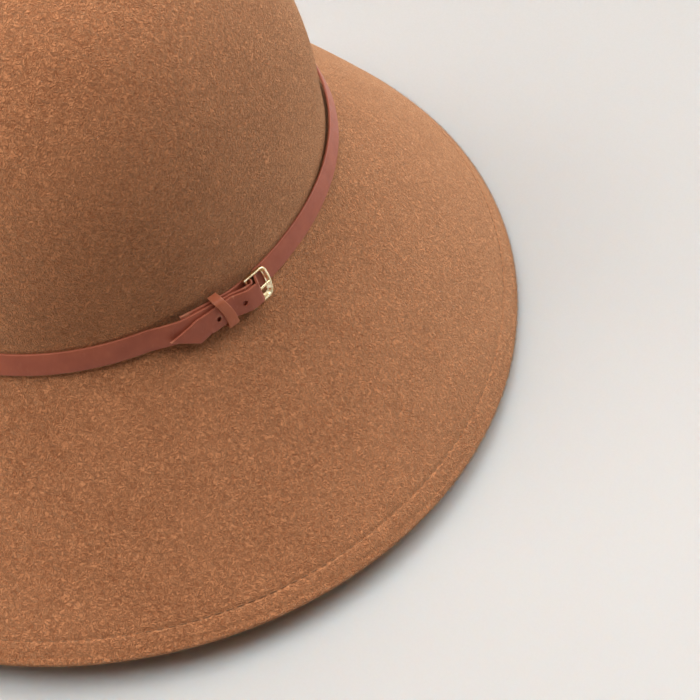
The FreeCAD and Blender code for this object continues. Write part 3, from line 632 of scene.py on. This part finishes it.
def punch(along, out, wide):
    """A round cutter through the tail, a little under its middle where the tail droops."""
    sides, depth = 20, 1.5 * MM
    rise = MID_RISE - sag(along) - 0.19 * max(0.0, -9 * MM - along)
    here = spot(along, out, rise)
    up = (spot(along, out, rise + MM) - here).normalized()
    ahead = (spot(along + MM, out, rise) - here).normalized()
    axis = ahead.cross(up).normalized()
    points = []
    for end in (-depth / 2, depth / 2):
        points += [here + axis * end + ahead * x + up * y for x, y in circle(wide / 2, sides)]
    mesh = bpy.data.meshes.new("punch")
    mesh.from_pydata(points, [], tube_faces(2, sides))
    cutter = bpy.data.objects.new("punch", mesh)
    bpy.context.scene.collection.objects.link(cutter)
    return cutter


def cut_through(piece, cutters):
    """Cuts the cutters out of a piece."""
    for cutter in cutters:
        change = piece.modifiers.new("cut", "BOOLEAN")
        change.operation = "DIFFERENCE"
        change.solver = "EXACT"
        change.object = cutter
    bpy.context.view_layer.update()
    cut = bpy.data.meshes.new_from_object(piece.evaluated_get(bpy.context.evaluated_depsgraph_get()))
    piece.modifiers.clear()
    piece.data = cut
    for cutter in cutters:
        bpy.data.objects.remove(cutter, do_unlink=True)


def make_band(skin):
    """One strip of leather: folded round the heel bar, round the crown, through the keeper as the tail."""
    section = strip_section(STRAP_WIDTH, STRAP_THICK, 0.3 * MM)
    stations = band_stations()
    middles = [spot(along, out, MID_RISE + rise) for along, out, rise, _ in stations]
    points = []
    for n, (along, out, _, slanted) in enumerate(stations):
        run = middles[min(n + 1, len(middles) - 1)] - middles[max(n - 1, 0)]
        up = spot(along, out, MM) - spot(along, out, 0)
        face = run.cross(up).normalized()
        up = face.cross(run).normalized()
        flow = run.normalized()
        for across, through in section:
            shear = flow * (TAIL_SLANT * slanted * across / STRAP_WIDTH)
            points.append(middles[n] + up * across + face * through + shear)
    faces = tube_faces(len(stations), len(section))
    piece = mesh_piece("leather_band", points, faces, skin, "hat", "hat_band")
    cut_through(piece, [punch(-4.5 * MM, TAIL_OVER_HEEL, 2.0 * MM), punch(-15.3 * MM, TAIL, 1.9 * MM)])
    piece.data.shade_smooth()
    piece.data.set_sharp_from_angle(angle=radians(50))


def make_keeper(skin):
    """A narrow leather loop round the band's layers, a little askew."""
    inner, outer = 1.2 * MM, TAIL + STRAP_THICK / 2 + 0.6 * MM
    low, high = -1.7 * MM, STRAP_WIDTH / SLANT + 1.4 * MM
    bend, tight = 1.0 * MM, 0.6 * MM        # its corners' radii, outside and against the crown
    corners = [(outer - bend, low + bend), (outer - bend, high - bend),
               (inner + tight, high - tight), (inner + tight, low + tight)]
    line = []
    for number, (out, rise) in enumerate(corners):
        radius = bend if number < 2 else tight
        for n in range(7):
            turn = pi / 2 * (number - 1 + n / 6)
            line.append((out + radius * cos(turn), rise + radius * sin(turn), cos(turn), sin(turn)))
        run = corners[(number + 1) % 4][1] - rise
        if number in (0, 2):
            way = 1 if number == 0 else -1
            line += [(out + way * radius, rise + run * n / 6, way, 0) for n in range(1, 6)]
    section = strip_section(KEEPER_WIDTH, KEEPER_THICK, 0.25 * MM)
    points = []
    for out, rise, way_out, way_up in line:
        height = (rise - low) / (high - low)
        skew = -2.8 * MM * (height - 0.5) + 0.8 * MM * (sin(pi * min(1.0, max(0.0, height))) - 0.5)
        for across, through in section:
            points.append(spot(KEEPER_ALONG + across + skew, out + way_out * through,
                               rise + way_up * through - 0.45 * BUCKLE_SAG))
    faces = grid_faces(len(line), len(section), closed=True)
    mesh_piece("leather_keeper", points, faces, skin, "keeper", "band_keeper")


# ---------------------------------------------------------------- buckle
def buckle_points(flat, drop):
    """Points given along the band, up its face and out from the heel bar, set on the buckle, drop low."""
    rise = MID_RISE - BUCKLE_SAG - drop
    here = spot(0, BAR_HEIGHT, rise)
    ahead = (spot(BAR_SPACING, BAR_HEIGHT, rise) - here).normalized()
    up = (spot(0, BAR_HEIGHT, rise + MM) - here).normalized()
    out = ahead.cross(up).normalized()
    return [here + ahead * x + up * y + out * z for x, y, z in flat]


def directions(line):
    """Each point of a flat line with the way the line runs there."""
    befores, afters = line[:1] + line[:-1], line[1:] + line[-1:]
    return [(here, Vector((after[0] - before[0], after[1] - before[1])).normalized())
            for before, here, after in zip(befores, line, afters)]


def arc(centre, radius, first, last, steps=10):
    """Points on a flat arc, its angles in degrees."""
    turns = [radians(first + (last - first) * n / steps) for n in range(steps + 1)]
    return [(centre[0] + radius * cos(turn), centre[1] + radius * sin(turn)) for turn in turns]


def make_frame(skin):
    """The buckle's frame: a rim bent to a D with a broad inward bevel, and the round heel bar."""
    half, front, back = 5.2 * MM, BAR_SPACING + 0.5 * MM, -0.9 * MM
    corner, bow = 2.0 * MM, 0.35 * MM
    line = [(back + (front - corner - back) * n / 12, half) for n in range(12)]
    line += arc((front - corner, half - corner), corner, 90, 0)
    line += [(front + bow * sin(pi * n / 12), half - corner - 2 * (half - corner) * n / 12)
             for n in range(1, 12)]
    line += arc((front - corner, corner - half), corner, 0, -90)
    line += [(front - corner + (back - front + corner) * n / 12, -half) for n in range(1, 13)]
    # millimetres away from the window and out: a flat crest near the outside, then the bevel inward
    profile = [(0.8, -0.72), (0.92, -0.6), (0.98, 0.1), (0.92, 0.5), (0.76, 0.76), (0.52, 0.86), (0.3, 0.8),
               (0.08, 0.55), (-0.28, -0.05), (-0.55, -0.42), (-0.78, -0.56), (-0.84, -0.66), (-0.76, -0.76)]
    flat = [(here[0] - way.y * aside * MM, here[1] + way.x * aside * MM, high * MM)
            for here, way in directions(line) for aside, high in profile]
    faces = tube_faces(len(line), len(profile))
    bar_rings, bar_sides = 15, 16
    faces += tube_faces(bar_rings, bar_sides, len(flat))
    for n in range(bar_rings):
        rise = -half + 2 * half * n / (bar_rings - 1)
        flat += [(x, rise, z) for x, z in circle(BAR_GIRTH, bar_sides)]
    piece = mesh_piece("gold_frame", buckle_points(flat, 0.9 * MM), faces, skin, "frame", "buckle_frame")
    piece.data.set_sharp_from_angle(angle=radians(42))


def make_prong(skin):
    """The prong: a round pin coiled once round the heel bar and laid over the outer bar."""
    eye, girth, sides = 1.12 * MM, 0.46 * MM, 12
    line = [(eye * cos(radians(turn)), eye * sin(radians(turn))) for turn in range(-30, -271, -15)]
    line += [(0.9 * MM * n, eye + 0.16 * MM * sin(pi * n / 8)) for n in range(1, 9)]
    line += [(8.0 * MM, eye + 0.05 * MM), (8.6 * MM, eye - 0.02 * MM), (9.1 * MM, eye - 0.12 * MM)]
    girths = [girth] * (len(line) - 3) + [girth * share for share in (0.92, 0.75, 0.4)]
    flat = []
    for (here, way), slim in zip(directions(line), girths):
        for across, high in circle(slim, sides):
            flat.append((here[0] - way.y * 0.85 * high, 1.2 * across, here[1] + way.x * 0.85 * high))
    faces = tube_faces(len(line), sides)
    mesh_piece("gold_prong", buckle_points(flat, 1.4 * MM), faces, skin, "prong", "buckle_prong")


# ---------------------------------------------------------------- light, floor and camera
def make_lamp(name, turn, height, side, watts):
    """A large soft square lamp that faces the hat, turned round it from behind the view."""
    turn, height = VIEW_AZIMUTH - radians(turn), radians(height)
    reach = LAMP_DISTANCE * cos(height)
    place = Vector((-reach * sin(turn), reach * cos(turn), LAMP_AIM + LAMP_DISTANCE * sin(height)))
    data = bpy.data.lights.new(name, "AREA")
    data.shape = "SQUARE"
    data.size = side
    data.energy = watts
    lamp = bpy.data.objects.new(name, data)
    lamp.location = place
    lamp.rotation_euler = (UP * LAMP_AIM - place).to_track_quat("-Z", "Y").to_euler()
    bpy.context.scene.collection.objects.link(lamp)


def make_floor(skin):
    """A plain sheet under the hat."""
    mesh = bpy.data.meshes.new("floor")
    corners = [(x * FLOOR_HALF, y * FLOOR_HALF, FLOOR_Z) for x, y in ((-1, -1), (1, -1), (1, 1), (-1, 1))]
    mesh.from_pydata(corners, [], [(0, 1, 2, 3)])
    mesh.materials.append(skin)
    floor = bpy.data.objects.new("floor", mesh)
    bpy.context.scene.collection.objects.link(floor)


def make_world(code, seen, unseen):
    """A pale room that polished metal mirrors, with hardly any light of its own on the hat."""
    world = bpy.data.worlds.new("soft_room")
    world.use_nodes = True
    tree = world.node_tree
    path = add(tree, "ShaderNodeLightPath", {}).outputs
    shown = calculated(tree, "MAXIMUM", path["Is Camera Ray"], path["Is Glossy Ray"])
    back = tree.nodes["Background"]
    back.inputs["Color"].default_value = linear(code)
    tree.links.new(spread(tree, shown, 0, 1, unseen, seen), back.inputs["Strength"])
    bpy.context.scene.world = world


def make_camera():
    """The view from the wearer's front left and above, turned a little as it was held."""
    right = Vector((cos(VIEW_AZIMUTH), sin(VIEW_AZIMUTH), 0))
    level = Vector((sin(VIEW_AZIMUTH), -cos(VIEW_AZIMUTH), 0))
    away = level * cos(VIEW_HEIGHT) + UP * sin(VIEW_HEIGHT)
    back, up = away, away.cross(right)

    def turned(vector, axis, angle):
        return Matrix.Rotation(angle, 3, axis) @ vector

    back, right = turned(back, up, VIEW_PAN), turned(right, up, VIEW_PAN)
    back, up = turned(back, right, VIEW_TILT), turned(up, right, VIEW_TILT)
    right, up = turned(right, -back, VIEW_ROLL), turned(up, -back, VIEW_ROLL)
    data = bpy.data.cameras.new("camera")
    data.sensor_width = 36
    data.lens = VIEW_LENS
    data.clip_start = 0.01
    camera = bpy.data.objects.new("camera", data)
    axes = Matrix((right, up, back)).transposed().to_4x4()
    camera.matrix_world = Matrix.Translation(UP * ROOT_Z + away * VIEW_DISTANCE) @ axes
    bpy.context.scene.collection.objects.link(camera)
    bpy.context.scene.camera = camera


# ---------------------------------------------------------------- the hat
felt = wool_felt("wool_felt", "#985936", "#BA764A", "#E59D6D")
# the loose fibres are coloured much paler than the felt: a painted highlight for light shining through them at
# the edges
fuzz = wool_felt("loose_fibre_painted_glow", "#DDB48C", "#EBCBA8", "#FBE6CC")
leather = belt_leather("band_leather", "#AC5A3E", "#CA8A69", "#8C412C")
# the keeper's leather is the band's leather in lighter colours: painted light on the keeper
keeper_leather = belt_leather("keeper_leather", "#B86541", "#D99D76", "#964B2E")
gold = pale_gold("pale_gold")
thread = spun_thread("edge_thread", "#A87850", "#7C5334")
ribbon_thread = spun_thread("ribbon_thread", "#6B4A36", "#3A2519")

make_crown(felt)
make_brim(felt)
make_fuzz(fuzz)
make_stitches("brim_stitches", 250, edge_row, 0.72, thread, "edge_stitching")
make_stitches("ribbon_stitches", 190, ribbon_row, 0.7, ribbon_thread, "sweatband_stitching")
make_ribbon(grosgrain("grosgrain"))
make_band(leather)
make_keeper(keeper_leather)
make_frame(gold)
make_prong(gold)
make_wire(drawn_steel("drawn_steel"))

make_floor(pale_paper("pale_paper"))
make_world("#F4F1EE", 0.6, 0.07)
for lamp in LAMPS:
    make_lamp(*lamp)
make_camera()
bpy.context.scene.view_settings.view_transform = "Standard"

bpy.context.view_layer.update()
